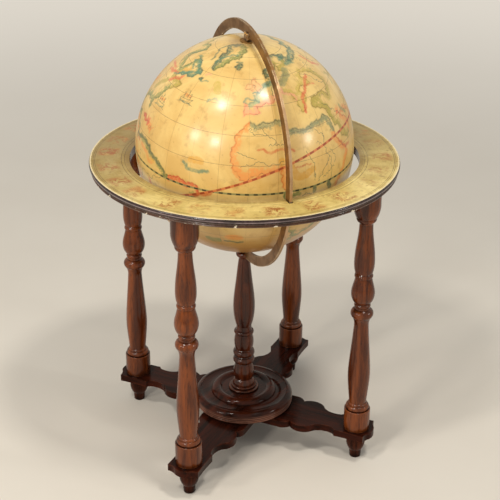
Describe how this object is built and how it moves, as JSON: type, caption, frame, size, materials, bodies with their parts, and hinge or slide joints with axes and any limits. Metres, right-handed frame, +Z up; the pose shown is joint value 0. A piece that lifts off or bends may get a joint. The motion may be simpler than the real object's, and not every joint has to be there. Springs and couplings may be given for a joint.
{
  "type": "floor globe",
  "caption": "Floor-standing globe that spins on pole pins in a tilting brass meridian ring, inside a wooden horizon ring on turned legs and a crossed base.",
  "frame": {"origin": "on the floor, on the vertical line through the globe's centre and the stand's column", "axes": "+Z up; the meridian ring stands in the YZ plane, and the north pole leans towards -Y"},
  "size_m": [0.571, 0.571, 0.8457],
  "materials": {
    "stand_wood": "reddish walnut, turned, stained and waxed to a satin gloss",
    "base_wood": "dark stained hardwood, waxed to a satin gloss",
    "rim_wood": "near-black stained moulding with worn edges",
    "plain_wood": "bare sawn hardwood, out of sight",
    "horizon_paper": "aged printed paper under varnish, glued to the boards",
    "globe_skin": "aged printed paper gores under glossy varnish, over a pasteboard shell",
    "meridian_brass": "brown-patinated brass, bright where it rubs",
    "brass_fittings": "plain brass",
    "steel": "plain steel"
  },
  "bodies": {
    "stand": {"base_bar_lower": "base_wood", "base_bar_upper": "base_wood", "bolt_washer": "steel", "column": "stand_wood", "column_bolt": "steel", "column_insert": "brass_fittings", "foot_back_left": "base_wood", "foot_back_right": "base_wood", "foot_front_left": "base_wood", "foot_front_right": "base_wood", "horizon_board_back": "stand_wood", "horizon_board_front": "stand_wood", "horizon_board_left": "stand_wood", "horizon_board_right": "stand_wood", "horizon_paper": "horizon_paper", "horizon_rim": "rim_wood", "horizon_splines": "plain_wood", "leg_back_left": "stand_wood", "leg_back_right": "stand_wood", "leg_front_left": "stand_wood", "leg_front_right": "stand_wood", "plinth": "stand_wood", "plinth_screws": "steel"},
    "meridian": {"meridian_ring": "meridian_brass", "north_bracket": "meridian_brass", "north_pin": "steel", "north_rivets": "brass_fittings", "south_bracket": "meridian_brass", "south_pin": "steel", "south_rivets": "brass_fittings"},
    "globe": {"equator_band": "plain_wood", "globe_post": "plain_wood", "north_bush": "brass_fittings", "north_hub": "plain_wood", "north_shell": "globe_skin", "north_washer": "steel", "south_bush": "brass_fittings", "south_hub": "plain_wood", "south_shell": "globe_skin", "south_washer": "steel"}
  },
  "joints": [
    {"name": "meridian_tilt", "type": "hinge", "parent": "stand", "child": "meridian", "pos_m": [0, 0, 0.6173], "axis": [1, 0, 0], "range_deg": [-78, 69]},
    {"name": "globe_spin", "type": "hinge", "parent": "meridian", "child": "globe", "pos_m": [0, 0, 0.6173], "axis": [0, -0.0802, 0.9968], "continuous": true}
  ]
}
